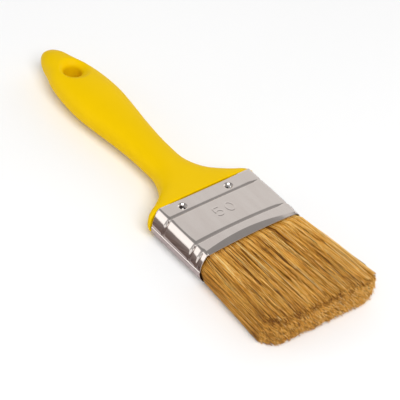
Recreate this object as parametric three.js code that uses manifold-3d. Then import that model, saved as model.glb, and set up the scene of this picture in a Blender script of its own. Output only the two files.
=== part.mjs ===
// Flat paint brush, 50 mm wide: moulded plastic handle, tin-plated steel ferrule, bristle tuft.
//
// Millimetres. X runs from the handle's tip to the bristle ends, Y across the width and Z up.
// The brush lies on its back, with the ferrule's back face on z = 0. Lengths along the brush are
// measured from the ferrule's handle-side edge, and the last lines centre the whole brush on x = 0.
// The bristles bend as one tuft about a line across the brush, just outside the ferrule's mouth:
// each row of bristles is therefore a set part in the ferrule and a free part that turns.

import * as THREE from 'three';
import { mergeVertices } from 'three/addons/utils/BufferGeometryUtils.js';
import Module from 'manifold-3d';

const wasm = await Module();
wasm.setup();

// ---- Driving dimensions ----

const CLEARANCE = 0.3;             // between any two separate pieces

const FERRULE_WIDTH = 50;          // the nominal size of the brush
const FERRULE_LENGTH = 29.5;
const FERRULE_THICKNESS = 14;
const SHEET = 0.5;                 // ferrule wall
const SIDE_BULGE = 2.8;            // how far the narrow sides stand out past the flat faces
const RIB_POSITIONS = [6.9, 22.65];
const RIB_DEPTH = 0.45;
const RIB_HALF_WIDTH = 0.9;
const LIP_START = 26.9;
const LIP_CRIMP = 0.42;            // the mouth is pressed in by this much

const NAIL_X = 3.7;
const NAIL_Y = [-13.6, 9.0];
const NAIL_HEAD_RADIUS = 1.6;
const NAIL_HEAD_HEIGHT = 0.5;
const NAIL_SHANK_RADIUS = 0.7;
const NAIL_LENGTH = 5.9;
const NAIL_POINT = 1.4;            // length of the tapered point
const DIMPLE_DEPTH = 0.65;
const DIMPLE_RADIUS = 2.7;
const DIMPLE_FLOOR_RADIUS = 1.95;

const HANDLE_LENGTH = 104;         // from the tip to the ferrule
const TIP_ROUNDING = 9;
const SLIM_SQUARENESS = 2.3;       // exponent of the section's squared-off ellipse
const SHOULDER_SQUARENESS = 3.5;
const SHOULDER = [-22, -2];        // where the section turns from slim to shoulder
const TANG_LENGTH = 10.2;
const TANG_INSET = 1.45;
const TANG_CHAMFER = 0.6;
const HANG_HOLE_X = -84.7;
// [radius, height above the handle's middle]: a straight waist that flares into a dish in each face
const HANG_HOLE_PROFILE = [[3.7, 3.4], [4.0, 4.0], [4.9, 4.9], [6.2, 5.8], [7.8, 6.7]];

const EPOXY_START = 10.8;
const EPOXY_END = 18.8;
const EPOXY_FLOOR = 3.5;           // solid resin behind the bristle butts
const EPOXY_INSET = 0.8;
const EPOXY_WALL = 0.7;

const TUFT_INSET = 1.3;            // bristles in the ferrule, measured from its outer face
const SPACER_THICKNESS = 1.6;
const SPACER_MIDDLE = 2.5;         // height of each spacer's middle above and below the mid plane
const SPACER_END = 27.5;

const BRISTLE_LENGTH_OUT = 43;     // the longest bristles, from the mouth
const TIP_DOME = 1.6;              // the outer bristles are shorter by this much
const MOUTH_FLARE = 0.9;           // the bristles swell by this much just outside the mouth
const TIP_HALF_WIDTH = 26.2;
const TIP_SIDE_BULGE = 0.7;        // the tuft's sides are flatter at the ends than at the mouth
const TIP_HALF_THICKNESS = 7.5;
const TIP_LIFT = 0.6;              // the tip's mid plane lies this much above the ferrule's
const FLEX_X = FERRULE_LENGTH + 7; // the line about which the tuft bends
const FLEX_RADIUS = 6.6;           // the free part's rounded root, about that line

const MID_Z = FERRULE_THICKNESS / 2;
const FLAT_HALF_WIDTH = FERRULE_WIDTH / 2 - SIDE_BULGE;
const SIDE_RADIUS = (MID_Z ** 2 + SIDE_BULGE ** 2) / (2 * SIDE_BULGE);
const SIDE_CENTRE_Y = FERRULE_WIDTH / 2 - SIDE_RADIUS;

// Half width of the handle along its length, before its tip is rounded off
const HANDLE_OUTLINE = [
  [-104, 4.9], [-95, 6.1], [-86, 9.2], [-76, 10.7], [-66, 11], [-56, 10],
  [-46, 8.7], [-36, 7.9], [-28, 7.7], [-22, 7.8], [-17, 9.1], [-13, 11.1],
  [-10, 13.6], [-7.5, 16.7], [-5, 20.3], [-2.5, 24.7], [-0.3, 25.8],
];
const HANDLE_HALF_THICKNESS = [
  [-104, 4.9], [-90, 6.2], [-70, 7.2], [-50, 6.2], [-30, 5.2], [-12, 6.2], [-0.3, 7.25],
];
const HANDLE_MID_HEIGHT = [[-104, 7.6], [-80, 8], [-60, 7.9], [-30, 7.3], [-12, 7.2], [-0.3, 7.3]];

// ---- Geometry helpers ----

const { lerp } = THREE.MathUtils;

// A smooth curve through [x, value] points, as a function of x.
function curveThrough(points) {
  const slopeAt = (i) => {
    const before = points[Math.max(i - 1, 0)];
    const after = points[Math.min(i + 1, points.length - 1)];
    return (after[1] - before[1]) / (after[0] - before[0]);
  };
  return (x) => {
    let i = 0;
    while (i < points.length - 2 && points[i + 1][0] < x) i += 1;
    const [startX, startValue] = points[i];
    const [endX, endValue] = points[i + 1];
    const span = endX - startX;
    const t = (x - startX) / span;
    const rise = t * t * (3 - 2 * t);
    return startValue + (endValue - startValue) * rise
      + slopeAt(i) * span * t * (1 - t) ** 2
      - slopeAt(i + 1) * span * t * t * (1 - t);
  };
}

// A body skinned over rings of [x, y, z] points. Rings run towards +X and counter-clockwise seen
// from there. A loop of rings joins its last ring to its first; otherwise both ends are capped.
function loft(rings, isLoop = false) {
  const size = rings[0].length;
  const positions = rings.flat(2);
  const faces = [];
  const joins = isLoop ? rings.length : rings.length - 1;
  for (let ring = 0; ring < joins; ring += 1) {
    const here = ring * size;
    const next = ((ring + 1) % rings.length) * size;
    for (let i = 0; i < size; i += 1) {
      const j = (i + 1) % size;
      faces.push(here + i, here + j, next + j, here + i, next + j, next + i);
    }
  }
  if (!isLoop) {
    addCap(positions, faces, rings[0], 0, true);
    addCap(positions, faces, rings.at(-1), (rings.length - 1) * size, false);
  }
  const geometry = new THREE.BufferGeometry();
  geometry.setAttribute('position', new THREE.Float32BufferAttribute(positions, 3));
  geometry.setIndex(faces);
  return geometry;
}

function addCap(positions, faces, ring, first, facesBack) {
  const centre = [0, 1, 2].map((axis) => ring.reduce((sum, point) => sum + point[axis], 0) / ring.length);
  const centreIndex = positions.length / 3;
  positions.push(...centre);
  for (let i = 0; i < ring.length; i += 1) {
    const here = first + i;
    const next = first + (i + 1) % ring.length;
    if (facesBack) faces.push(centreIndex, next, here);
    else faces.push(centreIndex, here, next);
  }
}

function toSolid(geometry) {
  const plain = geometry.clone();
  plain.deleteAttribute('normal');
  plain.deleteAttribute('uv');
  const merged = mergeVertices(plain, 1e-5);
  return new wasm.Manifold(new wasm.Mesh({
    numProp: 3,
    vertProperties: new Float32Array(merged.attributes.position.array),
    triVerts: new Uint32Array(merged.index.array),
  }));
}

function toGeometry(solid) {
  const mesh = solid.getMesh();
  const geometry = new THREE.BufferGeometry();
  geometry.setAttribute('position', new THREE.Float32BufferAttribute(mesh.vertProperties, 3));
  geometry.setIndex(Array.from(mesh.triVerts));
  return geometry;
}

// A turned body from [radius, height] points that start and end on the axis, standing on Z.
function turned(profile, sides) {
  const points = profile.map(([radius, height]) => new THREE.Vector2(radius, height));
  return new THREE.LatheGeometry(points, sides).rotateX(Math.PI / 2);
}

// ---- Cross-sections, as [y, height above the mid plane] ----

// Half width of the ferrule's section at a height, inside its outer face by the inset.
function sideAt(inset, height) {
  return SIDE_CENTRE_Y + Math.sqrt((SIDE_RADIUS - inset) ** 2 - height ** 2);
}

// The part of the ferrule's section between two heights: level edges joined by bulging sides.
function bandOutline(inset, low, high, steps) {
  const right = [];
  for (let i = 0; i <= steps; i += 1) {
    const height = low + (high - low) * i / steps;
    right.push([sideAt(inset, height), height]);
  }
  const left = right.map(([y, height]) => [-y, height]).reverse();
  return [...right, ...left];
}

function fullOutline(inset, steps = 8) {
  const reach = MID_Z - inset;
  return bandOutline(inset, -reach, reach, steps);
}

function ringAt(x, outline) {
  return outline.map(([y, height]) => [x, y, MID_Z + height]);
}

// ---- Ferrule and nails ----

// How far the sheet is pressed in at a place along the ferrule.
function pressedIn(x) {
  const ribs = RIB_POSITIONS.map((rib) => {
    const away = Math.min(Math.abs(x - rib) / RIB_HALF_WIDTH, 1);
    return RIB_DEPTH * (1 + Math.cos(Math.PI * away)) / 2;
  });
  const lip = LIP_CRIMP * Math.max(x - LIP_START, 0) / (FERRULE_LENGTH - LIP_START);
  return Math.max(...ribs, lip);
}

function ferruleStations() {
  const ribSteps = [-1, -0.5, 0, 0.5, 1].map((step) => step * RIB_HALF_WIDTH);
  const ribs = RIB_POSITIONS.flatMap((rib) => ribSteps.map((step) => rib + step));
  return [0, ...ribs, LIP_START, FERRULE_LENGTH];
}

// The dimple that a nail head sits in, pressed into the sheet. Height 0 is the outer face.
function dimpleCup() {
  return turned([
    [0, -DIMPLE_DEPTH - SHEET], [DIMPLE_FLOOR_RADIUS + 0.2, -DIMPLE_DEPTH - SHEET],
    [DIMPLE_RADIUS, -SHEET], [DIMPLE_RADIUS, 0], [0, 0],
  ], 20);
}

function dimpleHollow() {
  const holeRadius = NAIL_SHANK_RADIUS + CLEARANCE;
  return turned([
    [0, -DIMPLE_DEPTH - 2], [holeRadius, -DIMPLE_DEPTH - 2], [holeRadius, -DIMPLE_DEPTH],
    [DIMPLE_FLOOR_RADIUS, -DIMPLE_DEPTH], [DIMPLE_RADIUS - 0.3, 0], [DIMPLE_RADIUS - 0.3, 1], [0, 1],
  ], 20);
}

// Puts a shape made for the front face at each nail: [geometry, name] on the front and the back.
function atNails(geometry) {
  return NAIL_Y.flatMap((y, i) => {
    const side = i === 0 ? 'left' : 'right';
    const front = geometry.clone().translate(NAIL_X, y, FERRULE_THICKNESS);
    const back = geometry.clone().rotateX(Math.PI).translate(NAIL_X, y, 0);
    return [[front, `nail_front_${side}`], [back, `nail_back_${side}`]];
  });
}

function ferruleGeometry() {
  const stations = ferruleStations();
  const outer = stations.map((x) => ringAt(x, fullOutline(pressedIn(x))));
  const inner = stations.map((x) => ringAt(x, fullOutline(pressedIn(x) + SHEET))).reverse();
  let sheet = toSolid(loft([...outer, ...inner], true));
  for (const [cup] of atNails(dimpleCup())) sheet = sheet.add(toSolid(cup));
  for (const [hollow] of atNails(dimpleHollow())) sheet = sheet.subtract(toSolid(hollow));
  return toGeometry(sheet);
}

function nailGeometry() {
  const under = -DIMPLE_DEPTH + 0.1;
  const top = under + NAIL_HEAD_HEIGHT;
  return turned([
    [0, -DIMPLE_DEPTH - NAIL_LENGTH], [NAIL_SHANK_RADIUS, -DIMPLE_DEPTH - NAIL_LENGTH + NAIL_POINT],
    [NAIL_SHANK_RADIUS, under], [NAIL_HEAD_RADIUS, under], [NAIL_HEAD_RADIUS, under + 0.15],
    [NAIL_HEAD_RADIUS * 0.85, top - 0.14], [NAIL_HEAD_RADIUS * 0.5, top - 0.03], [0, top],
  ], 16);
}

// ---- Handle ----

const handleHalfWidth = curveThrough(HANDLE_OUTLINE);
const handleHalfThickness = curveThrough(HANDLE_HALF_THICKNESS);
const handleMidHeight = curveThrough(HANDLE_MID_HEIGHT);

// The tip closes along an ellipse; everywhere else this is 1.
function tipClosing(x) {
  const intoTip = Math.max(TIP_ROUNDING - (x + HANDLE_LENGTH), 0) / TIP_ROUNDING;
  return Math.sqrt(Math.max(1 - intoTip ** 2, 0));
}

// A squared-off ellipse, squarer towards the ferrule.
function handleRing(x, sides) {
  const widening = THREE.MathUtils.smoothstep(x, ...SHOULDER);
  const squareness = lerp(SLIM_SQUARENESS, SHOULDER_SQUARENESS, widening);
  const corner = (value) => Math.sign(value) * Math.abs(value) ** (2 / squareness);
  const ring = [];
  for (let i = 0; i < sides; i += 1) {
    const angle = (i / sides) * 2 * Math.PI;
    ring.push([
      x,
      handleHalfWidth(x) * tipClosing(x) * corner(Math.cos(angle)),
      handleMidHeight(x) + handleHalfThickness(x) * tipClosing(x) * corner(Math.sin(angle)),
    ]);
  }
  return ring;
}

function handleStations() {
  const stations = [];
  for (let i = 1; i <= 6; i += 1) {
    const turn = (i / 6) * Math.PI / 2;
    stations.push(-HANDLE_LENGTH + TIP_ROUNDING * (1 - Math.cos(turn)));
  }
  for (let x = -90; x < -24; x += 5.5) stations.push(x);
  for (let x = -22; x < -2; x += 2) stations.push(x);
  return [...stations, -1.5, -CLEARANCE];
}

function hangHoleCutter() {
  const reach = 12;
  const upper = [...HANG_HOLE_PROFILE, [HANG_HOLE_PROFILE.at(-1)[0], reach], [0, reach]];
  const lower = upper.map(([radius, height]) => [radius, -height]).reverse();
  return turned([...lower, ...upper], 24).translate(HANG_HOLE_X, 0, handleMidHeight(HANG_HOLE_X));
}

function nailHoleCutter() {
  const radius = NAIL_SHANK_RADIUS + CLEARANCE + 0.05;
  const depth = NAIL_LENGTH + DIMPLE_DEPTH + CLEARANCE;
  return turned([[0, -depth], [radius, -depth], [radius, 0], [0, 0]], 12);
}

function handleGeometry() {
  const body = toSolid(loft(handleStations().map((x) => handleRing(x, 32))));
  const tangEnds = [-3, TANG_LENGTH - 1, TANG_LENGTH];
  const tangInsets = [TANG_INSET, TANG_INSET, TANG_INSET + TANG_CHAMFER];
  const tang = toSolid(loft(tangEnds.map((x, i) => ringAt(x, fullOutline(tangInsets[i], 6)))));
  let handle = body.add(tang).subtract(toSolid(hangHoleCutter()));
  for (const [hole] of atNails(nailHoleCutter())) handle = handle.subtract(toSolid(hole));
  return toGeometry(handle);
}

// ---- Resin, spacers and bristles ----

function epoxyGeometry() {
  const block = toSolid(loft([EPOXY_START, EPOXY_END].map((x) => ringAt(x, fullOutline(EPOXY_INSET)))));
  const pocketInset = EPOXY_INSET + EPOXY_WALL;
  const pocketEnds = [EPOXY_START + EPOXY_FLOOR, EPOXY_END + 1];
  const pocket = toSolid(loft(pocketEnds.map((x) => ringAt(x, fullOutline(pocketInset)))));
  return toGeometry(block.subtract(pocket));
}

function spacerGeometry(middle) {
  const buttX = EPOXY_START + EPOXY_FLOOR + CLEARANCE;
  const halfWidth = FLAT_HALF_WIDTH - 1;
  const half = SPACER_THICKNESS / 2;
  const outline = [
    [halfWidth, middle - half], [halfWidth, middle + half],
    [-halfWidth, middle + half], [-halfWidth, middle - half],
  ];
  const wedge = outline.map(([y, height]) => [y, middle + (height - middle) * 0.8]);
  return loft([ringAt(buttX, outline), ringAt(SPACER_END, wedge)]);
}

// The three rows' heights in the ferrule, between the spacers: [low, high] above the mid plane.
function rowBands(reach) {
  const inner = SPACER_MIDDLE - SPACER_THICKNESS / 2 - 0.2;
  const outer = SPACER_MIDDLE + SPACER_THICKNESS / 2 + 0.2;
  return { front: [outer, reach], middle: [-inner, inner], back: [-reach, -outer] };
}

// The same rows at the bristle ends, where the spacers' room has closed up, as shares of the reach.
const TIP_BANDS = { front: [0.4, 1], middle: [-0.35, 0.35], back: [-1, -0.4] };

// A row's ring at a share of the way from its rounded root to the bristle ends.
function freeRing(row, share) {
  const inset = TUFT_INSET - MOUTH_FLARE * THREE.MathUtils.smoothstep(share, 0, 0.12);
  const reach = MID_Z - inset;
  const closing = THREE.MathUtils.smoothstep(share, 0, 0.55);
  const atMouth = rowBands(reach)[row];
  const [low, high] = TIP_BANDS[row].map((tip, i) => lerp(atMouth[i], tip * reach, closing));
  const spreadZ = lerp(1, TIP_HALF_THICKNESS / reach, share);
  return bandOutline(inset, low, high, 4).map(([y, height]) => {
    const sideAtTip = TIP_HALF_WIDTH - TIP_SIDE_BULGE * (height / reach) ** 2;
    return [
      lerp(rootX(height, FLEX_RADIUS), tipX(height * spreadZ), share),
      Math.sign(y) * lerp(Math.abs(y), sideAtTip, share),
      MID_Z + TIP_LIFT * share + height * spreadZ,
    ];
  });
}

// The surface, about the bending line, on which the free parts end and the set parts stop.
function rootX(height, radius) {
  return FLEX_X - Math.sqrt(radius ** 2 - height ** 2);
}

function tipX(height) {
  return FERRULE_LENGTH + BRISTLE_LENGTH_OUT - TIP_DOME * (height / TIP_HALF_THICKNESS) ** 2;
}

function freeRowGeometry(row) {
  return loft([0, 0.12, 0.25, 0.4, 0.6, 0.8, 1].map((share) => freeRing(row, share)));
}

function setRowGeometry(row) {
  const buttX = EPOXY_START + EPOXY_FLOOR + CLEARANCE;
  const pocketInset = EPOXY_INSET + EPOXY_WALL + CLEARANCE;
  const potted = bandOutline(pocketInset, ...rowBands(MID_Z - pocketInset)[row], 4);
  const loose = bandOutline(TUFT_INSET, ...rowBands(MID_Z - TUFT_INSET)[row], 4);
  const end = loose.map(([y, height]) => [
    rootX(height, FLEX_RADIUS + CLEARANCE),
    y,
    MID_Z + height,
  ]);
  return loft([
    ringAt(buttX, potted), ringAt(EPOXY_END + CLEARANCE, potted),
    ringAt(EPOXY_END + CLEARANCE, loose), ringAt(FERRULE_LENGTH, loose), end,
  ]);
}

// ---- Assembly ----

const PLASTIC = { color: 0xf0c800, roughness: 0.42, metalness: 0 };
const TINPLATE = { color: 0xc8bfb8, roughness: 0.3, metalness: 1 };
const NAIL_STEEL = { color: 0xb8b0a8, roughness: 0.25, metalness: 1 };
const RESIN = { color: 0xc9b27a, roughness: 0.3, metalness: 0 };
const SPACER_WOOD = { color: 0xcaa878, roughness: 0.8, metalness: 0 };
const BRISTLE = { color: 0xb98c41, roughness: 0.7, metalness: 0 };

const brush = new THREE.Group();

function addPiece(name, geometry, finish) {
  const piece = new THREE.Mesh(geometry, new THREE.MeshStandardMaterial(finish));
  piece.name = name;
  brush.add(piece);
}

addPiece('handle', handleGeometry(), PLASTIC);
addPiece('ferrule', ferruleGeometry(), TINPLATE);
for (const [geometry, name] of atNails(nailGeometry())) addPiece(name, geometry, NAIL_STEEL);
addPiece('epoxy_setting', epoxyGeometry(), RESIN);
addPiece('spacer_front', spacerGeometry(SPACER_MIDDLE), SPACER_WOOD);
addPiece('spacer_back', spacerGeometry(-SPACER_MIDDLE), SPACER_WOOD);
for (const row of ['front', 'middle', 'back']) {
  addPiece(`bristle_row_${row}_set`, setRowGeometry(row), BRISTLE);
  addPiece(`bristle_row_${row}_free`, freeRowGeometry(row), BRISTLE);
}

brush.position.x = (HANDLE_LENGTH - FERRULE_LENGTH - BRISTLE_LENGTH_OUT) / 2;

export default brush;
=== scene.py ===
import math

import bpy
import numpy as np
from mathutils import Matrix, Vector


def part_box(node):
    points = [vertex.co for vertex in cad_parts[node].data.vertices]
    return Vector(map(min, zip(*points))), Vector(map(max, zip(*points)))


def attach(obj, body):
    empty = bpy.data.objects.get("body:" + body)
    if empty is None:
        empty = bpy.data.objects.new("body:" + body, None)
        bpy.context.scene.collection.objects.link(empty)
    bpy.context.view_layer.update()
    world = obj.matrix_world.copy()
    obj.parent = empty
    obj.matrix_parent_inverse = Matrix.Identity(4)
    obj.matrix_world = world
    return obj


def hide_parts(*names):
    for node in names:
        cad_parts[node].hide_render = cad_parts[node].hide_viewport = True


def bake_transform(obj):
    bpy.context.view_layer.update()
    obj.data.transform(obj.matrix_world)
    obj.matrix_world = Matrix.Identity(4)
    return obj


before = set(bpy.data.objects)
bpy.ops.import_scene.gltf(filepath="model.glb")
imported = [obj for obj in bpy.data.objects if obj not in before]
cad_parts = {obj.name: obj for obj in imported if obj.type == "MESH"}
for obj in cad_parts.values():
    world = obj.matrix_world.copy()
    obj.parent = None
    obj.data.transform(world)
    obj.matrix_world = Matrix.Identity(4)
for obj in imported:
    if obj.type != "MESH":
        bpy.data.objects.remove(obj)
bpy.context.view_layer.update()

# The brush lies on its back. Shapes below are worked out in millimetres from the ferrule's
# handle-side edge: x along the brush towards the bristle ends, y across it, z up from the floor.
FERRULE_LOW, FERRULE_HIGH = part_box("ferrule")
ORIGIN_X = FERRULE_LOW.x
FERRULE_LENGTH = (FERRULE_HIGH.x - FERRULE_LOW.x) * 1000
HALF_WIDTH = (FERRULE_HIGH.y - FERRULE_LOW.y) * 500
THICKNESS = (FERRULE_HIGH.z - FERRULE_LOW.z) * 1000
MID_Z = THICKNESS / 2
HANDLE_TIP = (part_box("handle")[0].x - ORIGIN_X) * 1000
BRISTLE_END = (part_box("bristle_row_middle_free")[1].x - ORIGIN_X) * 1000

# The ferrule's narrow sides are arcs that bulge out past its flat faces.
SIDE_BULGE = 2.8
SIDE_RADIUS = (MID_Z ** 2 + SIDE_BULGE ** 2) / (2 * SIDE_BULGE)
SIDE_CENTRE_Y = HALF_WIDTH - SIDE_RADIUS


# ---- General helpers ----

def smoothstep(value, low, high):
    share = np.clip((np.asarray(value, float) - low) / (high - low), 0, 1)
    return share * share * (3 - 2 * share)


def bump(value, centre, half_width):
    """1 at the centre, falling smoothly to 0 at half_width away."""
    away = np.clip(np.abs(np.asarray(value, float) - centre) / half_width, 0, 1)
    return (1 + np.cos(np.pi * away)) / 2


def curve_through(points):
    """A smooth curve through (x, value) points, as a function of an array of x."""
    xs, values = np.array(points, float).T
    before = np.r_[0, np.arange(len(xs) - 1)]
    after = np.r_[np.arange(1, len(xs)), len(xs) - 1]
    slopes = (values[after] - values[before]) / (xs[after] - xs[before])

    def at(x):
        i = np.clip(np.searchsorted(xs, x) - 1, 0, len(xs) - 2)
        span = xs[i + 1] - xs[i]
        t = (x - xs[i]) / span
        rise = t * t * (3 - 2 * t)
        return (values[i] + (values[i + 1] - values[i]) * rise
                + slopes[i] * span * t * (1 - t) ** 2 - slopes[i + 1] * span * t * t * (1 - t))
    return at


def in_frame(points):
    """Points in millimetres from the ferrule's edge, as metres in the frame."""
    moved = np.asarray(points, float) / 1000
    moved[:, 0] += ORIGIN_X
    return moved


def grid_faces(rows, columns, wrap_rows=False):
    """Quads over a grid of points numbered row by row. Each row is a closed ring."""
    row = np.arange(rows if wrap_rows else rows - 1)
    r, c = np.meshgrid(row, np.arange(columns), indexing="ij")
    r_next, c_next = (r + 1) % rows, (c + 1) % columns
    corners = [r * columns + c, r * columns + c_next, r_next * columns + c_next, r_next * columns + c]
    return np.stack(corners, -1).reshape(-1, 4)


def mesh_piece(name, points, faces, material):
    """A smooth-shaded mesh object from points in millimetres."""
    mesh = bpy.data.meshes.new(name)
    mesh.from_pydata(in_frame(points).tolist(), [], [list(map(int, f)) for f in faces])
    mesh.polygons.foreach_set("use_smooth", [True] * len(mesh.polygons))
    mesh.materials.append(material)
    piece = bpy.data.objects.new(name, mesh)
    bpy.context.scene.collection.objects.link(piece)
    return piece


def belongs(piece, body, slot, *nodes):
    """Says which body the piece rides on and the CAD nodes it stands in for, and hides those nodes. The slot
    argument is not used.
    """
    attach(piece, body)
    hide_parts(*nodes)


def baked_modifiers(piece):
    """Applies the piece's modifiers to its mesh."""
    bpy.context.view_layer.update()
    shape = bpy.data.meshes.new_from_object(
        piece.evaluated_get(bpy.context.evaluated_depsgraph_get()))
    piece.modifiers.clear()
    piece.data = shape


# ---- Materials ----

def new_material(name):
    material = bpy.data.materials.new(name)
    material.use_nodes = True
    nodes = material.node_tree.nodes
    return material, nodes, material.node_tree.links, nodes["Principled BSDF"]


def object_noise(nodes, links, stretch, scale, detail=3.0, roughness=0.5):
    """Noise in the object's own space, stretched along its axes."""
    place = nodes.new("ShaderNodeTexCoord")
    mapping = nodes.new("ShaderNodeMapping")
    mapping.inputs["Scale"].default_value = stretch
    noise = nodes.new("ShaderNodeTexNoise")
    noise.inputs["Scale"].default_value = scale
    noise.inputs["Detail"].default_value = detail
    noise.inputs["Roughness"].default_value = roughness
    links.new(place.outputs["Object"], mapping.inputs["Vector"])
    links.new(mapping.outputs["Vector"], noise.inputs["Vector"])
    return noise


def ramp(nodes, links, source, stops):
    """A colour ramp with (position, colour) stops."""
    made = nodes.new("ShaderNodeValToRGB")
    elements = made.color_ramp.elements
    while len(elements) < len(stops):
        elements.new(0.5)
    for element, (position, colour) in zip(elements, stops):
        element.position = position
        element.color = (*colour, 1)
    links.new(source, made.inputs["Fac"])
    return made


def value_range(nodes, links, source, low, high, from_low=0.3, from_high=0.7):
    """The source's range from_low to from_high, mapped to low to high."""
    made = nodes.new("ShaderNodeMapRange")
    made.inputs["From Min"].default_value = from_low
    made.inputs["From Max"].default_value = from_high
    made.inputs["To Min"].default_value = low
    made.inputs["To Max"].default_value = high
    links.new(source, made.inputs["Value"])
    return made


def bump_from(nodes, links, source, shader, strength, distance):
    made = nodes.new("ShaderNodeBump")
    made.inputs["Strength"].default_value = strength
    made.inputs["Distance"].default_value = distance
    links.new(source, made.inputs["Height"])
    links.new(made.outputs["Normal"], shader.inputs["Normal"])


def plastic_material():
    material, nodes, links, shader = new_material("yellow_plastic")
    mottling = object_noise(nodes, links, (1, 1, 1), 38)
    colour = ramp(nodes, links, mottling.outputs["Fac"], [
        (0.3, (0.80, 0.51, 0.0)), (0.7, (0.85, 0.545, 0.0))])
    links.new(colour.outputs["Color"], shader.inputs["Base Color"])
    skin = object_noise(nodes, links, (1, 1, 1), 1400, 2)
    roughness = value_range(nodes, links, skin.outputs["Fac"], 0.42, 0.52)
    links.new(roughness.outputs["Result"], shader.inputs["Roughness"])
    bump_from(nodes, links, skin.outputs["Fac"], shader, 0.12, 0.00006)
    shader.inputs["Specular IOR Level"].default_value = 0.045
    return material


def tinplate_material():
    material, nodes, links, shader = new_material("tinplate")
    rolling = object_noise(nodes, links, (6, 30, 30), 10, 4)
    colour = ramp(nodes, links, rolling.outputs["Fac"], [
        (0.25, (0.67, 0.60, 0.56)), (0.75, (0.71, 0.645, 0.605))])
    links.new(colour.outputs["Color"], shader.inputs["Base Color"])
    roughness = value_range(nodes, links, rolling.outputs["Fac"], 0.065, 0.10)
    links.new(roughness.outputs["Result"], shader.inputs["Roughness"])
    bump_from(nodes, links, rolling.outputs["Fac"], shader, 0.02, 0.00003)
    shader.inputs["Metallic"].default_value = 1.0
    return material


def nail_material():
    material, nodes, links, shader = new_material("nail_steel")
    scuffs = object_noise(nodes, links, (1, 1, 1), 900, 4)
    colour = ramp(nodes, links, scuffs.outputs["Fac"], [
        (0.42, (0.05, 0.035, 0.028)), (0.60, (0.80, 0.77, 0.74))])
    links.new(colour.outputs["Color"], shader.inputs["Base Color"])
    roughness = value_range(nodes, links, scuffs.outputs["Fac"], 0.12, 0.30)
    links.new(roughness.outputs["Result"], shader.inputs["Roughness"])
    bump_from(nodes, links, scuffs.outputs["Fac"], shader, 0.25, 0.0001)
    shader.inputs["Metallic"].default_value = 1.0
    return material


def resin_material():
    material, nodes, links, shader = new_material("epoxy_resin")
    clouds = object_noise(nodes, links, (1, 1, 1), 180, 4)
    colour = ramp(nodes, links, clouds.outputs["Fac"], [
        (0.3, (0.30, 0.17, 0.045)), (0.7, (0.47, 0.29, 0.09))])
    links.new(colour.outputs["Color"], shader.inputs["Base Color"])
    roughness = value_range(nodes, links, clouds.outputs["Fac"], 0.15, 0.35)
    links.new(roughness.outputs["Result"], shader.inputs["Roughness"])
    return material


def wood_material():
    material, nodes, links, shader = new_material("spacer_softwood")
    grain = object_noise(nodes, links, (2, 30, 30), 22, 5, 0.6)
    colour = ramp(nodes, links, grain.outputs["Fac"], [
        (0.3, (0.42, 0.24, 0.10)), (0.7, (0.62, 0.43, 0.22))])
    links.new(colour.outputs["Color"], shader.inputs["Base Color"])
    roughness = value_range(nodes, links, grain.outputs["Fac"], 0.65, 0.85)
    links.new(roughness.outputs["Result"], shader.inputs["Roughness"])
    bump_from(nodes, links, grain.outputs["Fac"], shader, 0.3, 0.0002)
    return material


def bristle_material():
    """Each strand's own tone, with its painted light and painted shade, is in the mesh; noise along the
    strand varies it further.
    """
    material, nodes, links, shader = new_material("natural_bristle")
    tone = nodes.new("ShaderNodeAttribute")
    tone.attribute_name = "tone"
    streaks = object_noise(nodes, links, (34, 420, 420), 9, 3, 0.65)
    mixed = nodes.new("ShaderNodeMath")
    mixed.operation = "MULTIPLY_ADD"
    links.new(streaks.outputs["Fac"], mixed.inputs[0])
    mixed.inputs[1].default_value = 0.45
    links.new(tone.outputs["Fac"], mixed.inputs[2])
    colour = ramp(nodes, links, mixed.outputs["Value"], [
        (0.18, (0.18, 0.055, 0.004)), (0.42, (0.64, 0.285, 0.030)),
        (0.64, (0.90, 0.51, 0.105)), (0.95, (0.97, 0.77, 0.35))])
    links.new(colour.outputs["Color"], shader.inputs["Base Color"])
    roughness = value_range(nodes, links, streaks.outputs["Fac"], 0.38, 0.6)
    links.new(roughness.outputs["Result"], shader.inputs["Roughness"])
    shader.inputs["Specular IOR Level"].default_value = 0.35
    return material


def floor_material():
    material, nodes, links, shader = new_material("pale_floor")
    clouds = object_noise(nodes, links, (1, 1, 1), 3, 2)
    colour = ramp(nodes, links, clouds.outputs["Fac"], [
        (0.3, (0.95, 0.95, 0.95)), (0.7, (0.97, 0.97, 0.97))])
    links.new(colour.outputs["Color"], shader.inputs["Base Color"])
    shader.inputs["Roughness"].default_value = 0.9
    shader.inputs["Specular IOR Level"].default_value = 0.1
    return material


PLASTIC = plastic_material()
TINPLATE = tinplate_material()
NAIL_STEEL = nail_material()
RESIN = resin_material()
WOOD = wood_material()
BRISTLE = bristle_material()


# ---- Handle ----

# (x, half width)
HANDLE_OUTLINE = curve_through([
    (-104, 4.9), (-95, 6.1), (-86, 9.2), (-76, 10.7), (-66, 11), (-56, 10), (-46, 8.7),
    (-36, 7.9), (-28, 7.7), (-22, 7.8), (-17, 9.1), (-13, 11.1), (-10, 13.6), (-7.5, 16.7),
    (-5, 20.3), (-2.5, 24.7), (-0.3, 25.8)])
# (x, half thickness) and (x, height of the middle above the floor)
HANDLE_HALF_THICKNESS = curve_through([
    (-104, 4.9), (-90, 6.2), (-70, 7.2), (-50, 6.2), (-30, 5.2), (-12, 6.2), (-0.3, 7.25)])
HANDLE_MID_HEIGHT = curve_through([
    (-104, 7.6), (-80, 8), (-60, 7.9), (-30, 7.3), (-12, 7.2), (-0.3, 7.3)])
HANDLE_END = -0.3
SHOULDER_START = -24
TIP_ROUNDING = 9
HANG_HOLE_X = -84.7
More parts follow.
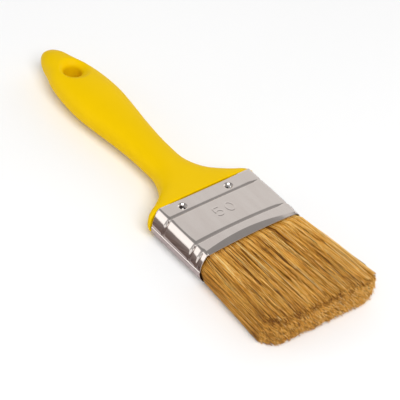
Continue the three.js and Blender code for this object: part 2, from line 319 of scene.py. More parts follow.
# (radius, height above the handle's middle): a straight waist that flares into a dish in each face
HANG_HOLE_PROFILE = np.array([(3.7, 3.4), (4.0, 4.0), (4.9, 4.9), (6.2, 5.8), (7.8, 6.7), (7.8, 10)])
HANG_HOLE_SIDES = 64
TANG_START = -3
TANG_END = 10.2
TANG_INSET = 1.45
TANG_CHAMFER = 0.6
SKIN_VOXEL = 0.00045
SOFTENING_STEPS = 8


def handle_rings(x, sides):
    """Rounded sections of the handle at each x, [station, side, xyz]. They close up at the tip."""
    into_tip = np.clip(TIP_ROUNDING - (x - HANDLE_TIP), 0, TIP_ROUNDING) / TIP_ROUNDING
    closing = np.sqrt(np.clip(1 - into_tip ** 2, 0, 1))
    squareness = 2.3 + 1.2 * smoothstep(x, -22, -2)
    angle = np.arange(sides) / sides * 2 * np.pi
    power = (2 / squareness)[:, None]
    across = np.sign(np.cos(angle)) * np.abs(np.cos(angle)) ** power
    up = np.sign(np.sin(angle)) * np.abs(np.sin(angle)) ** power
    y = (HANDLE_OUTLINE(x) * closing)[:, None] * across
    z = HANDLE_MID_HEIGHT(x)[:, None] + (HANDLE_HALF_THICKNESS(x) * closing)[:, None] * up
    return np.stack([np.broadcast_to(x[:, None], y.shape), y, z], -1)


def capped(rings):
    """Points and faces of a closed body over rings that run towards +X."""
    rows, columns = rings.shape[:2]
    points = np.vstack([rings.reshape(-1, 3), rings[0].mean(0), rings[-1].mean(0)])
    faces = [list(f) for f in grid_faces(rows, columns)]
    first, last = rows * columns, rows * columns + 1
    for i in range(columns):
        j = (i + 1) % columns
        faces.append([first, j, i])
        faces.append([last, (rows - 1) * columns + i, (rows - 1) * columns + j])
    return points, faces


def hang_hole_cutter():
    """A hole that flares into a dish in both faces."""
    radius = np.r_[HANG_HOLE_PROFILE[::-1, 0], HANG_HOLE_PROFILE[:, 0]]
    height = np.r_[-HANG_HOLE_PROFILE[::-1, 1], HANG_HOLE_PROFILE[:, 1]]
    angle = np.arange(HANG_HOLE_SIDES) / HANG_HOLE_SIDES * 2 * np.pi
    middle = float(HANDLE_MID_HEIGHT(np.array([HANG_HOLE_X]))[0])
    rings = np.stack([
        HANG_HOLE_X + radius[:, None] * np.cos(angle), radius[:, None] * np.sin(angle),
        np.broadcast_to(middle + height[:, None], (len(height), HANG_HOLE_SIDES))], -1)
    points, faces = capped(rings)
    return mesh_piece("hang_hole_cutter", points, faces, PLASTIC)


def tang_body():
    """The plug on the handle's end that fills the ferrule."""
    stations = [TANG_START, 0, TANG_END - 1, TANG_END]
    insets = [TANG_INSET, TANG_INSET, TANG_INSET, TANG_INSET + TANG_CHAMFER]
    rings = []
    for x, inset in zip(stations, insets):
        outline = ferrule_outline(inset, 60)
        rings.append(np.c_[np.full(len(outline), x), outline])
    points, faces = capped(np.array(rings))
    return mesh_piece("tang_body", points, faces, PLASTIC)


def blurred_ring(values, window):
    """Values round a closed ring, each averaged with its neighbours within the window."""
    kernel = np.hanning(window + 2)[1:-1]
    kernel /= kernel.sum()
    wrapped = np.r_[values[-window:], values, values[:window]]
    return np.convolve(wrapped, kernel, "same")[window:-window]


def ferrule_outline(inset, count):
    """The ferrule's cross-section as count points [y, z], evenly spaced, edges slightly rounded."""
    edge_rounding = 0.6
    samples = 3000
    reach = MID_Z - inset
    height = np.linspace(-reach, reach, 400)
    side = SIDE_CENTRE_Y + np.sqrt((SIDE_RADIUS - inset) ** 2 - height ** 2)
    across = np.linspace(side[-1], -side[-1], 900)[1:-1]
    face = np.full(len(across), reach)
    corners = np.vstack([
        np.c_[side, height], np.c_[across, face],
        np.c_[-side[::-1], height[::-1]], np.c_[-across, -face]])
    closed = np.vstack([corners, corners[:1]])
    length = np.r_[0, np.cumsum(np.linalg.norm(np.diff(closed, axis=0), axis=1))]
    even = np.linspace(0, length[-1], samples + 1)[:-1]
    window = int(round(edge_rounding / (length[-1] / samples)))
    picked = np.linspace(0, samples, count + 1)[:-1]
    outline = []
    for k in (0, 1):
        rounded = blurred_ring(np.interp(even, length, closed[:, k]), window)
        outline.append(np.interp(picked, np.arange(samples + 1), np.r_[rounded, rounded[:1]]))
    return np.stack(outline, -1) + [0, MID_Z]


def make_handle():
    """The body and its tang in one, with the hole cut, in one even skin that is then softened."""
    turn = np.linspace(0.05, 1, 26) * np.pi / 2
    stations = np.r_[HANDLE_TIP + TIP_ROUNDING * (1 - np.cos(turn)),
                     np.linspace(HANDLE_TIP + TIP_ROUNDING, SHOULDER_START, 90)[1:],
                     np.linspace(SHOULDER_START, HANDLE_END, 60)[1:]]
    points, faces = capped(handle_rings(stations, 96))
    handle = mesh_piece("handle_body", points, faces, PLASTIC)
    cutter, tang = hang_hole_cutter(), tang_body()
    for other, operation in ((tang, "UNION"), (cutter, "DIFFERENCE")):
        boolean = handle.modifiers.new(operation.lower(), "BOOLEAN")
        boolean.object = other
        boolean.operation = operation
        boolean.solver = "EXACT"
    baked_modifiers(handle)
    for other in (cutter, tang):
        bpy.data.objects.remove(other)
    remesh = handle.modifiers.new("even_skin", "REMESH")
    remesh.mode = "VOXEL"
    remesh.voxel_size = SKIN_VOXEL
    baked_modifiers(handle)
    soften(handle)
    handle.data.polygons.foreach_set("use_smooth", [True] * len(handle.data.polygons))
    belongs(handle, "root", "handle_plastic", "handle")


def soften(handle):
    """Rounds the rim of the hang hole, and evens out the skin everywhere else a little."""
    points = np.array([v.co for v in handle.data.vertices]) * 1000
    points[:, 0] -= ORIGIN_X * 1000
    from_hole = np.hypot(points[:, 0] - HANG_HOLE_X, points[:, 1])
    weight = 0.6 + 0.4 * (1 - smoothstep(from_hole, 9.5, 12))
    weight *= smoothstep(-points[:, 0], 0.3, 1.5)
    group = handle.vertex_groups.new(name="softened")
    for i, w in enumerate(weight):
        group.add([i], float(w), "REPLACE")
    smooth = handle.modifiers.new("soften", "SMOOTH")
    smooth.factor = 0.5
    smooth.iterations = SOFTENING_STEPS
    smooth.vertex_group = "softened"
    baked_modifiers(handle)
    handle.vertex_groups.clear()


make_handle()


# ---- Ferrule ----

SHEET = 0.35
CROWN = 0.45
CROWN_HALF_WIDTH = 21.5
MOUTH_BOW = 0.6
RIBS = (6.9, 22.65)
FRONT_RIB_DEPTHS = {"shoulders": 0.11, "core": 0.30}
BACK_RIB_DEPTH = 0.40
# The lip that is pressed in at the mouth: deeper at the front's left than at its right
LIP_START = 26.4
LIP_CURVE = 1.4
LIP_DEPTH_LEFT = 0.62
LIP_DEPTH_RIGHT = 0.12
BACK_LIP_START = 27
BACK_LIP_DEPTH = 0.42
# On the narrow sides: (x, half width, depth) of the ribs, and the ends of the panels that swell between them
SIDE_RIBS = ((RIBS[0], 1.1, 0.55), (RIBS[1], 1.1, 0.55), (27.0, 0.9, 0.42))
SIDE_PANELS = ((-2, RIBS[0]), (RIBS[0], RIBS[1]), (RIBS[1], 27.0))
PANEL_SWELL = 0.16
SEAM_HEIGHT = 6.0
SEAM_BEVEL = 0.36
LAP_STEP = 0.3
DIGIT_HEIGHT = 4.6
DIGIT_WIDTH = 3.3
DIGIT_X = 13.5
DIGIT_Y = (-3.9, 1.7)
STROKE_HEIGHT = 0.085
STROKE_WIDTH = 0.24
NAIL_X = 3.7
NAIL_Y = (-13.6, 9.0)
NAIL_DIMPLE = 0.72
# (from, to, step) where the mesh needs rings closer together: nails, ribs, number and lip
FINE_STATIONS = [(1.6, 5.6, 0.2), (5.6, 8.2, 0.13), (10.8, 16.2, 0.2), (21.2, 24, 0.13), (25.6, 30, 0.2)]


def digit_strokes():
    """The size number's strokes as [x, y] polylines. It reads along +Y with its top towards the handle."""
    turn = np.radians(np.linspace(150, -140, 15))
    bowl = np.c_[0.02 + 0.5 * np.cos(turn), -0.19 + 0.31 * np.sin(turn)]
    five = np.vstack([[0.44, 0.5], [-0.38, 0.5], [-0.43, 0.04], bowl])
    ring = np.linspace(0, 2 * np.pi, 25)
    nought = np.c_[0.5 * np.cos(ring), 0.5 * np.sin(ring)]
    strokes = []
    for shape, middle in zip((five, nought), DIGIT_Y):
        strokes.append(np.c_[DIGIT_X - shape[:, 1] * DIGIT_HEIGHT, middle + shape[:, 0] * DIGIT_WIDTH])
    return strokes


def distance_to(strokes, x, y):
    """The distance from each place to the nearest stroke."""
    place = np.stack([x, y], -1)
    nearest = np.full(x.shape, 1e9)
    for stroke in strokes:
        for start, end in zip(stroke[:-1], stroke[1:]):
            along = end - start
            share = np.clip(((place - start) @ along) / (along @ along), 0, 1)
            away = np.linalg.norm(place - start - share[..., None] * along, axis=-1)
            nearest = np.minimum(nearest, away)
    return nearest


def spaced(low, high, step, finer):
    """Values from low to high a step apart, or closer within each (from, to, step) of finer."""
    values = [low]
    while values[-1] < high - 1e-6:
        here = values[-1] + 1e-6
        steps = [close for start, end, close in finer if start <= here < end]
        ahead = [start for start, end, close in finer if start > here]
        reach = values[-1] + (steps[0] if steps else step)
        values.append(min([reach, high] + ([] if steps else ahead)))
    return np.array(values)


def ferrule_columns():
    """Places round the section as [y, z], closer together at the number, the nails and the seam."""
    fine = ferrule_outline(0, 3000)
    chosen, last = [], -100
    for i, (y, z) in enumerate(fine):
        on_flat = abs(y) < HALF_WIDTH - SIDE_BULGE - 1
        at_number = z > MID_Z and DIGIT_Y[0] - 3.1 < y < DIGIT_Y[1] + 2.9
        at_nail = min(abs(y - nail_y) for nail_y in NAIL_Y) < 2.3
        at_seam = y < 0 and abs(z - SEAM_HEIGHT - SEAM_BEVEL / 2) < 0.5
        step = 24 if on_flat else 11
        if on_flat and (at_number or at_nail):
            step = 6
        if at_seam:
            step = 3
        if i - last >= step:
            chosen.append(i)
            last = i
    return fine[chosen]


def groove(x, centre, before, after):
    """1 at the centre, falling to 0 over different lengths on its two sides."""
    away = np.where(x < centre, (centre - x) / before, (x - centre) / after)
    return (1 + np.cos(np.pi * np.clip(away, 0, 1))) / 2


def front_offset(x, y):
    """How far the front of the sheet stands out: crowned middle, ribs, and the lip at the mouth."""
    across = np.clip(1 - (y / CROWN_HALF_WIDTH) ** 2, 0, 1)
    right_fade = 1 - smoothstep(y, 17.5, 21.2)
    out = CROWN * smoothstep(x, 0, 20) * across
    for rib in RIBS:
        shoulders = FRONT_RIB_DEPTHS["shoulders"] * groove(x, rib, 1.4, 0.7)
        core = FRONT_RIB_DEPTHS["core"] * groove(x, rib, 0.5, 0.42)
        out = out - right_fade * (shoulders + core)
    lip_start = LIP_START + LIP_CURVE * (np.abs(y + 1) / 19) ** 1.8
    into_lip = np.clip((x - lip_start) / (FERRULE_LENGTH - lip_start), 0, 1)
    lip_depth = LIP_DEPTH_LEFT + (LIP_DEPTH_RIGHT - LIP_DEPTH_LEFT) * smoothstep(y, -6, 20)
    return out - lip_depth * into_lip


def back_offset(x):
    out = -BACK_LIP_DEPTH * smoothstep(x, BACK_LIP_START, FERRULE_LENGTH)
    for rib in RIBS:
        out = out - BACK_RIB_DEPTH * bump(x, rib, 0.75)
    return out


def side_offset(x, y, z):
    """The sides: ribs pulled in between swelling panels, and on the left the sheet's lap below its seam."""
    above_seam = smoothstep(z, SEAM_HEIGHT + 0.2, SEAM_HEIGHT + 1.6)
    at_edge = 1 - 0.75 * smoothstep(np.abs(z - MID_Z), MID_Z - 1.6, MID_Z - 0.5)
    out = np.zeros(x.shape)
    for place, half_width, depth in SIDE_RIBS:
        out -= depth * at_edge * bump(x, place, half_width) * (0.1 + 0.9 * above_seam)
    swell = np.zeros(x.shape)
    for start, end in SIDE_PANELS:
        swell = np.maximum(swell, bump(x, (start + end) / 2, (end - start) / 2) ** 0.4)
    lap = LAP_STEP * np.clip((SEAM_HEIGHT + SEAM_BEVEL - z) / SEAM_BEVEL, 0, 1)
    return out + PANEL_SWELL * (swell * above_seam - 1) + np.where(y < 0, lap, 0)


def nail_dimples(x, y):
    """How far the sheet is driven in round the nails."""
    out = np.zeros(x.shape)
    for nail_y in NAIL_Y:
        from_nail = np.hypot(x - NAIL_X, y - nail_y)
        out -= NAIL_DIMPLE * (1 - smoothstep(from_nail, 0.9, 1.9))
    return out


def ferrule_surface():
    """The sheet's outer and inner faces, [station, place round the section, xyz]."""
    section = ferrule_columns()
    count = len(section)
    tangent = np.roll(section, -1, 0) - np.roll(section, 1, 0)
    tangent /= np.linalg.norm(tangent, axis=1)[:, None]
    normal = np.c_[tangent[:, 1], -tangent[:, 0]]
    stations = spaced(0, FERRULE_LENGTH, 0.5, FINE_STATIONS)
    x = np.broadcast_to(stations[:, None], (len(stations), count))
    y = np.broadcast_to(section[:, 0], x.shape)
    z = np.broadcast_to(section[:, 1], x.shape)
    flat_edge = HALF_WIDTH - SIDE_BULGE - 0.2
    on_front = (np.abs(y) < flat_edge) & (z > MID_Z)
    on_back = (np.abs(y) < flat_edge) & (z < MID_Z)
    dimples = nail_dimples(x, y)
    number = STROKE_HEIGHT * np.exp(-(distance_to(digit_strokes(), x, y) / STROKE_WIDTH) ** 2)
    out = np.where(on_front, front_offset(x, y) + dimples + number,
                   np.where(on_back, back_offset(x) + dimples, side_offset(x, y, z)))
    outer = np.stack([x, y + normal[:, 0] * out, z + normal[:, 1] * out], -1)
    bow = MOUTH_BOW * x / FERRULE_LENGTH * np.clip(1 - (y / flat_edge) ** 2, 0, 1)
    outer[..., 0] -= bow
    outer[..., 2] = np.maximum(outer[..., 2], 0)
    inner = outer - SHEET * np.stack([np.zeros(count), normal[:, 0], normal[:, 1]], -1)
    return outer, inner


def make_ferrule():
    """One closed sleeve: the outer face, a rounded rim at the mouth, and back along the inner face."""
    outer, inner = ferrule_surface()
    mouth = (outer[-1] + inner[-1]) / 2 + [SHEET * 0.45, 0, 0]
    rings = np.concatenate([outer, mouth[None], inner[::-1]])
    points = rings.reshape(-1, 3)
    faces = grid_faces(len(rings), rings.shape[1], wrap_rows=True)
    ferrule = mesh_piece("ferrule_sheet", points, faces, TINPLATE)
    belongs(ferrule, "root", "ferrule_tinplate", "ferrule")


make_ferrule()


# ---- Nails ----

# (radius, height above the face of the ferrule), from the point to the middle of the domed head
NAIL_PROFILE = [
    (0, -6.4), (0.7, -5.0), (0.7, -0.78), (0.98, -0.76), (1.16, -0.66), (1.20, -0.5), (1.12, -0.36),
    (0.95, -0.24), (0.7, -0.15), (0.4, -0.09), (0.15, -0.06), (0, -0.06)]


def make_nail(name, x, y, faces_up):
    """A nail driven in flush, from the front face or from the back."""
    sides = 40
    profile = np.array(NAIL_PROFILE[1:-1])
    angle = np.arange(sides) / sides * 2 * np.pi
    radius = profile[:, :1]
    rings = np.stack([radius * np.cos(angle), radius * np.sin(angle),
                      np.broadcast_to(profile[:, 1:], (len(profile), sides))], -1)
    points = np.vstack([rings.reshape(-1, 3), [0, 0, NAIL_PROFILE[0][1]], [0, 0, NAIL_PROFILE[-1][1]]])
    faces = [list(f) for f in grid_faces(len(profile), sides)]
    first, last, top = len(points) - 2, len(points) - 1, (len(profile) - 1) * sides
    for i in range(sides):
        j = (i + 1) % sides
        faces += [[first, j, i], [last, top + i, top + j]]
    if not faces_up:
        points = points * [1, -1, -1]
    points = points + [x, y, THICKNESS if faces_up else 0]
    nail = mesh_piece(name + "_domed", points, faces, NAIL_STEEL)
    belongs(nail, "root", "nail_steel", name)


for side, nail_y in zip(("left", "right"), NAIL_Y):
    make_nail("nail_front_" + side, NAIL_X, nail_y, True)
    make_nail("nail_back_" + side, NAIL_X, nail_y, False)


# ---- Bristles ----

# How far inside the ferrule's outside the strands stand in its mouth, and just past it
SET_INSET = 1.1
TUFT_INSET = 0.3
BUTT_X = 14.6
# The tuft's shape at the bristle ends
TIP_HALF_WIDTH = 26.0
TIP_HALF_THICKNESS = 7.1
TIP_SIDE_BULGE = 1.2
TIP_LIFT = 0.45
TIP_SHIFT = 0.3
TIP_DOME = 1.5
LOWEST_Z = 0.25
HIGHEST_Z = 15.3
# From each row's lowest to its highest strand: heights above the middle in the ferrule, and shares of
# the half thickness at the ends, where the rows close up
ROW_BANDS = {"front": (3.5, 5.9), "middle": (-1.5, 1.5), "back": (-5.9, -3.5)}
TIP_BANDS = {"front": (0.30, 1.0), "middle": (-0.34, 0.34), "back": (-1.0, -0.30)}
STRANDS = {"front": 3950, "middle": 3600, "back": 3300}
STRAND_RADII = (0.11, 0.18)
# Clumps: how many across half the width, and how deep each is
CLUMPS_ACROSS = 19
CLUMP_DEPTH = 2.1
# Where along its free length a strand has its points
STEPS = np.array([0, 0.035, 0.08, 0.24, 0.42, 0.62, 0.82, 1.0])
# Where the front of the tuft has parted: y at the mouth, start, end, half width
PARTINGS = [
    (9.5, -0.05, 0.40, 0.20), (-8.0, -0.05, 0.2, 0.12), (1.0, 0.22, 0.55, 0.18),
    (-4.5, 0.40, 0.80, 0.18), (-16.0, 0.30, 0.65, 0.22), (-10.5, 0.18, 0.45, 0.16)]
SMALL_PARTINGS = 110


def strand_roots(row, count, rng):
    """Where the row's strands stand in the ferrule: their share of the width, and their height."""
    low, high = ROW_BANDS[row]
    share = rng.uniform(-1, 1, count)
    height = rng.uniform(low, high, count)
    if row == "middle":
        beside_spacers = rng.random(count) < 0.2
        height = np.where(beside_spacers, rng.uniform(-3.6, 3.6, count), height)
        share = np.where(beside_spacers, np.sign(share) * rng.uniform(0.9, 1, count), share)
    return share, height


def corner_drop(y):
    """How much shorter the bristles are towards the tuft's two corners."""
    rounding = np.clip((np.abs(y) - 20) / 5, 0, 1) ** 1.6
    return np.where(y < 0, 0.7, 0.3) * (y / 19) ** 2 + np.where(y < 0, 4.2, 0.8) * rounding


def gathered(share, depth, rng):
    """How far each strand is drawn to the middle of its loose clump, its clump, and the number of clumps."""
    column = np.floor((share + 1) * CLUMPS_ACROSS + rng.normal(0, 0.3, len(share)))
    layer = np.floor((depth + 8) / CLUMP_DEPTH + rng.normal(0, 0.2, len(share)))
    keys, member = np.unique(np.stack([column, layer], -1).astype(int), axis=0, return_inverse=True)
    member = member.ravel()
    middle = (keys[:, 0] + 0.5) / CLUMPS_ACROSS - 1
    pull = rng.uniform(0, 0.14, len(keys))
    return (middle[member] - share) * pull[member], member, len(keys)


def small_partings():
    """Short thin gaps scattered over the front of the tuft, in the form of PARTINGS."""
    rng = np.random.default_rng(7)
    partings = []
    for _ in range(SMALL_PARTINGS):
        begins = rng.uniform(0.02, 0.7)
        place = rng.uniform(-24, 24)
        ends = begins + rng.uniform(0.07, 0.2)
        partings.append((place, begins, ends, rng.uniform(0.02, 0.09)))
    return partings


def tip_shares(row, height):
    """Each strand's height at the tuft's end, as a share of the half thickness."""
    low, high = ROW_BANDS[row]
    tip_low, tip_high = TIP_BANDS[row]
    in_band = np.clip((height - low) / (high - low), 0, 1)
    beside_row = (height < low) | (height > high)
    return np.where(beside_row, height / 6, tip_low + in_band * (tip_high - tip_low))


def leaning(member, clumps, rng):
    """How far each strand's end leans across and up: with its clump and on its own. Strays lean more."""
    count = len(member)
    drift = rng.normal(0, (0.22, 0.22), (clumps, 2))[member]
    stray = np.where(rng.random(count) < 0.2, 1.9, 1)
    return drift + rng.normal(0, (1.55, 0.28), (count, 2)) * stray[:, None]


def tuft_shape(height, tip_share):
    """At each strand and step: the height above the middle, the half thickness and the half width there."""
    t = STEPS[None, :]
    flare = smoothstep(t, 0.0, 0.08)
    closing = smoothstep(t, 0, 0.45)
    reach_at_mouth = MID_Z - SET_INSET
    free_reach = MID_Z - TUFT_INSET
    reach = reach_at_mouth + (free_reach - reach_at_mouth) * flare
    reach = reach + (TIP_HALF_THICKNESS - free_reach) * t
    share_z = (height / reach_at_mouth)[:, None] * (1 - closing) + tip_share[:, None] * closing
    middle_half = HALF_WIDTH - SET_INSET + (SET_INSET - TUFT_INSET) * flare
    middle_half = middle_half + (TIP_HALF_WIDTH - HALF_WIDTH + TUFT_INSET) * t ** 0.9
    bulge = SIDE_BULGE + (TIP_SIDE_BULGE - SIDE_BULGE) * t
    half = middle_half - bulge * np.clip(np.abs(share_z), 0, 1) ** 2
    return share_z * reach, reach, half


def wavy(size, cycles, count, rng):
    """A small sideways wave along each strand."""
    height = rng.normal(0, size, (count, 1))
    return height * np.sin(cycles * STEPS[None, :] + rng.uniform(0, 6, (count, 1)))


def parted(y, half, under_front):
    """Moves the strands near the front face out of the partings. Also gives the shade in each parting."""
    t = STEPS[None, :]
    shade = np.zeros(y.shape)
    for start_y, begins, ends, width in PARTINGS + small_partings():
        lens = np.sin(np.pi * np.clip((t - begins) / (ends - begins), 0, 1)) ** 0.8
        away = y - start_y / HALF_WIDTH * half
        y = y + np.sign(away) * width * lens * np.exp(-(away / 1.1) ** 2) * under_front
        shade = np.maximum(shade, lens * np.exp(-(away / (0.12 + 0.8 * width)) ** 2))
    return y, shade


def strand_lengths(tip_y, tip_share, member, clumps, rng):
    """Free lengths: domed and dropped at the corners, uneven by clump and by strand, some much shorter."""
    count = len(tip_y)
    dome = TIP_DOME * (1 - 0.8 * smoothstep(tip_y, 6, 22)) * tip_share ** 2
    length = BRISTLE_END - FERRULE_LENGTH - 0.6 - dome - corner_drop(tip_y)
    length += rng.normal(0, 0.3, clumps)[member] + rng.normal(0, 0.4, count)
    length -= (rng.random(count) < 0.2) * rng.uniform(0.5, 6, count)
    return length


def strand_tones(y, shade, tip_share, member, clumps, rng):
    """How pale each strand is at each step: paler at the right as painted light, and darker in partings,
    mouth and end edge as painted shade.
    """
    count = len(y)
    t = STEPS[None, :]
    own = rng.normal(0.31, 0.155, count) + rng.normal(0, 0.02, clumps)[member]
    along = 0.10 * np.sin(5 * t + rng.uniform(0, 2 * np.pi, (count, 1)))
    # Painted shadow: patchy darkening towards the strand ends of the upper layers, standing in for the
    # shadow the top ends cast along the end face's top edge.
    patchy_end_shadow = rng.uniform(0, 0.42, clumps)[member] * bump(tip_share, 0.72, 0.34)
    end_edge_painted_shadow = (0.04 + patchy_end_shadow)[:, None] * smoothstep(t, 0.84, 0.98)
    # Painted light: strands paler towards +Y, the side the light falls from.
    paler_right_painted_light = 0.07 * y / HALF_WIDTH
    # Painted shade: strands darker where they come out of the ferrule's mouth.
    mouth_painted_shade = 0.10 * (1 - smoothstep(t, 0, 0.1))
    # The partings' shade is painted in here as a darker tone.
    return own[:, None] + along + paler_right_painted_light - 0.40 * shade - mouth_painted_shade - end_edge_painted_shadow


def strand_paths(row, count, rng):
    """Centre lines of the row's strands, [strand, step, xyz], and the tone along each."""
    share, height = strand_roots(row, count, rng)
    tip_share = tip_shares(row, height)
    clump_shift, member, clumps = gathered(share, tip_share * TIP_HALF_THICKNESS, rng)
    lean = leaning(member, clumps, rng)
    above_middle, reach, half = tuft_shape(height, tip_share)

    t = STEPS[None, :]
    across = share[:, None] + clump_shift[:, None] * smoothstep(t, 0.05, 0.9)
    held_at_sides = 1 - 0.8 * smoothstep(np.abs(share) * half[:, -1], 23, 26)[:, None]
    y = across * half + TIP_SHIFT * t + lean[:, :1] * t ** 1.3 * held_at_sides
    y = np.clip(y, -half, half + TIP_SHIFT * t) + wavy(0.16, 4, count, rng)
    z = MID_Z + TIP_LIFT * t + above_middle + lean[:, 1:] * t ** 1.5
    z = z + wavy(0.22, 6, count, rng) * smoothstep(t, 0, 0.2)
    under_front = 1 - smoothstep(reach - above_middle, 0.2, 3.4)
    y, shade = parted(y, half, under_front)

    length = strand_lengths(y[:, -1], tip_share, member, clumps, rng)
    x = FERRULE_LENGTH - 0.8 + (length[:, None] + 0.8) * t
    butt = np.stack([np.full(count, BUTT_X), share * (HALF_WIDTH - 3.2), MID_Z + height * 0.9], -1)
    free = np.stack([x, y, np.clip(z, LOWEST_Z, HIGHEST_Z)], -1)
    tone = strand_tones(y, shade, tip_share, member, clumps, rng)
    return np.concatenate([butt[:, None], free], 1), np.c_[tone[:, :1], tone]


def strand_points(paths, sides, rng):
    """Corner points round the strands, [strand, ring, side, xyz]. The strands taper to their ends."""
    count = len(paths)
    along = np.gradient(paths, axis=1)
    along /= np.linalg.norm(along, axis=-1, keepdims=True)
    sideways = np.cross(along, [0, 0, 1.0])
    sideways /= np.linalg.norm(sideways, axis=-1, keepdims=True)
    upwards = np.cross(sideways, along)
    taper = np.r_[1, np.interp(STEPS, [0, 1], [1, 0.7])]
    radius = (rng.uniform(*STRAND_RADII, count)[:, None] * taper)[..., None]
    turn = rng.uniform(0, 2 * np.pi, count)
    corners = []
    for k in range(sides):
        angle = (turn + 2 * np.pi * k / sides)[:, None, None]
        corners.append(paths + radius * (np.cos(angle) * sideways + np.sin(angle) * upwards))
    points = np.stack(corners, 2)
    points[..., 2] = np.clip(points[..., 2], 0.05, None)
    return points


def strand_mesh(name, paths, tone, rng):
    """Three-sided strands in one mesh, with a tone on each point."""
    sides = 3
    count, rings = paths.shape[:2]
    points = strand_points(paths, sides, rng).reshape(-1, 3)
    around = grid_faces(rings, sides)
    ends = np.array([[2, 1, 0], [rings * sides - 3, rings * sides - 2, rings * sides - 1]])
    first = (np.arange(count) * rings * sides)[:, None]
    corners = np.r_[(around.reshape(1, -1) + first).ravel(), (ends.reshape(1, -1) + first).ravel()]
    sizes = np.r_[np.full(count * len(around), 4), np.full(count * 2, 3)]

    mesh = bpy.data.meshes.new(name)
    mesh.vertices.add(len(points))
    mesh.vertices.foreach_set("co", in_frame(points).ravel())
    mesh.loops.add(len(corners))
    mesh.loops.foreach_set("vertex_index", corners)
    mesh.polygons.add(len(sizes))
    mesh.polygons.foreach_set("loop_start", np.r_[0, np.cumsum(sizes)[:-1]])
    mesh.polygons.foreach_set("use_smooth", np.ones(len(sizes), bool))
    mesh.update(calc_edges=True)
    mesh.validate()
    attribute = mesh.attributes.new("tone", "FLOAT", "POINT")
    attribute.data.foreach_set("value", np.repeat(tone, sides, axis=1).astype(np.float32).ravel())
    mesh.materials.append(BRISTLE)
    piece = bpy.data.objects.new(name, mesh)
    bpy.context.scene.collection.objects.link(piece)
    return piece


def make_bristle_row(row, seed):
    """One row of strands from the resin to the tips, bending with the tuft past the ferrule's mouth."""
    rng = np.random.default_rng(seed)
    paths, tone = strand_paths(row, STRANDS[row], rng)
    piece = strand_mesh(f"bristles_{row}", paths, tone, rng)
    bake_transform(piece)
    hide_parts(f"bristle_row_{row}_set", f"bristle_row_{row}_free")


for row, seed in (("front", 50), ("middle", 51), ("back", 52)):
    make_bristle_row(row, seed)


# ---- Pieces inside the ferrule keep their CAD shapes ----

for node, material, slot in (("epoxy_setting", RESIN, "epoxy"), ("spacer_front", WOOD, "spacer_wood"),
                             ("spacer_back", WOOD, "spacer_wood")):
    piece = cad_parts[node]
    piece.data.materials.clear()
    piece.data.materials.append(material)


# ---- Floor, lights and camera, in metres ----

FLOOR_HALF = 3
CARD_HEIGHT = 0.0004
# Corners of the cards on the left of the brush, seen only in reflections, where they paint the ferrule
# side's grey strip and dark brown band: a grey strip beside it, and a brown card outside that
GREY_REFLECTION_CARD = [(0.050, -0.0235), (-0.010, -0.0235), (-0.020, -0.034), (0.050, -0.0285)]
BROWN_REFLECTION_CARD = [(0.050, -0.0285), (-0.020, -0.034), (-0.110, -0.170), (0.050, -0.170)]
SOFTBOX_DISTANCE = 1.1
# (direction from the brush, diameter, radiance)
SOFTBOXES = {
    "back_softbox": ((-0.68, 0.62, 0.40), 1.1, 0.40),
    "left_softbox": ((-0.56, -0.80, 0.24), 0.75, 0.9),
    "right_softbox": ((-0.10, 0.95, 0.30), 0.75, 1.2),
    "key_softbox": ((0.50, -0.25, 0.83), 0.9, 4.7)}
CAMERA_LENS = 205.2
CAMERA_FROM_FERRULE = (0.463137, -0.463638, 0.588613)
CAMERA_VIEW = (-0.529642, 0.528662, -0.663322)
CAMERA_UP = (-0.577344, 0.348222, 0.738522)


def add_sheet(name, corners, height, material):
    """A flat stage piece from its [x, y] corners."""
    mesh = bpy.data.meshes.new(name)
    mesh.from_pydata([(x, y, height) for x, y in corners], [], [tuple(range(len(corners)))])
    mesh.materials.append(material)
    sheet = bpy.data.objects.new(name, mesh)
    bpy.context.scene.collection.objects.link(sheet)
    return sheet


def add_floor():
    low, high = -FLOOR_HALF, FLOOR_HALF
    add_sheet("floor", [(low, low), (high, low), (high, high), (low, high)], 0.0, floor_material())


def add_softbox(name, direction, size, radiance):
    """A round studio softbox that faces the brush."""
    light = bpy.data.lights.new(name, "AREA")
    light.shape = "DISK"
    light.size = size
    light.energy = radiance * math.pi * math.pi * (size / 2) ** 2
    lamp = bpy.data.objects.new(name, light)
    lamp.location = Vector(direction).normalized() * SOFTBOX_DISTANCE
    lamp.rotation_euler = (-lamp.location).to_track_quat("-Z", "Y").to_euler()
    lamp.visible_camera = False
    bpy.context.scene.collection.objects.link(lamp)


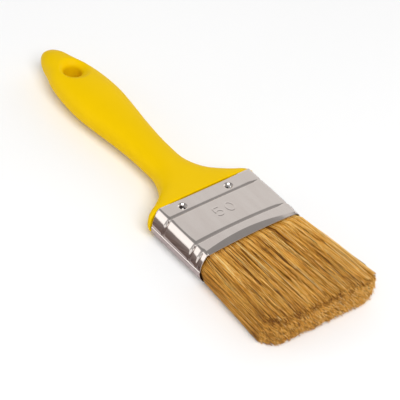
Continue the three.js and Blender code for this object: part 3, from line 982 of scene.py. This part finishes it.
def card_material(name, dark, light):
    material, nodes, links, shader = new_material(name)
    grain = object_noise(nodes, links, (1, 0.08, 1), 700, 3)
    colour = ramp(nodes, links, grain.outputs["Fac"], [(0.38, dark), (0.62, light)])
    links.new(colour.outputs["Color"], shader.inputs["Base Color"])
    return material


def add_cards():
    """Cards on both sides, seen only in reflections: they paint dark brown and grey reflection bands into
    the ferrule's bright metal.
    """
    # Colours of the painted reflection bands.
    brown = card_material("brown_reflection_card", (0.055, 0.028, 0.024), (0.20, 0.135, 0.122))
    grey = card_material("grey_reflection_card", (0.56, 0.51, 0.535), (0.64, 0.59, 0.62))
    for side, turned in (("left", 1), ("right", -1)):
        for shade, corners, material in (("brown", BROWN_REFLECTION_CARD, brown), ("grey", GREY_REFLECTION_CARD, grey)):
            outline = [(x, y * turned) for x, y in corners][::turned]
            # Painted reflection: each card shows only in glossy rays.
            card = add_sheet(f"{shade}_card_{side}", outline, CARD_HEIGHT, material)
            card.visible_camera = False
            card.visible_diffuse = False
            card.visible_shadow = False


def add_world():
    """A plain white surround that dims towards the top."""
    world = bpy.data.worlds.new("studio")
    bpy.context.scene.world = world
    world.use_nodes = True
    nodes, links = world.node_tree.nodes, world.node_tree.links
    direction = nodes.new("ShaderNodeTexCoord")
    split = nodes.new("ShaderNodeSeparateXYZ")
    links.new(direction.outputs["Generated"], split.inputs["Vector"])
    strength = value_range(nodes, links, split.outputs["Z"], 0.62, 0.30, 0.2, 0.95)
    links.new(strength.outputs["Result"], nodes["Background"].inputs["Strength"])
    nodes["Background"].inputs["Color"].default_value = (1, 1, 1, 1)


def add_camera():
    data = bpy.data.cameras.new("camera")
    data.lens = CAMERA_LENS
    data.sensor_width = 36
    data.clip_start = 0.05
    data.clip_end = 20
    camera = bpy.data.objects.new("camera", data)
    camera.location = Vector((ORIGIN_X, 0, 0)) + Vector(CAMERA_FROM_FERRULE)
    view, up = Vector(CAMERA_VIEW), Vector(CAMERA_UP)
    right = view.cross(up)
    camera.rotation_mode = "QUATERNION"
    camera.rotation_quaternion = Matrix((right, up, -view)).transposed().to_quaternion()
    bpy.context.scene.collection.objects.link(camera)
    bpy.context.scene.camera = camera


add_floor()
add_cards()
for name, (direction, size, radiance) in SOFTBOXES.items():
    add_softbox(name, direction, size, radiance)
add_world()
add_camera()
bpy.context.scene.view_settings.view_transform = "Standard"
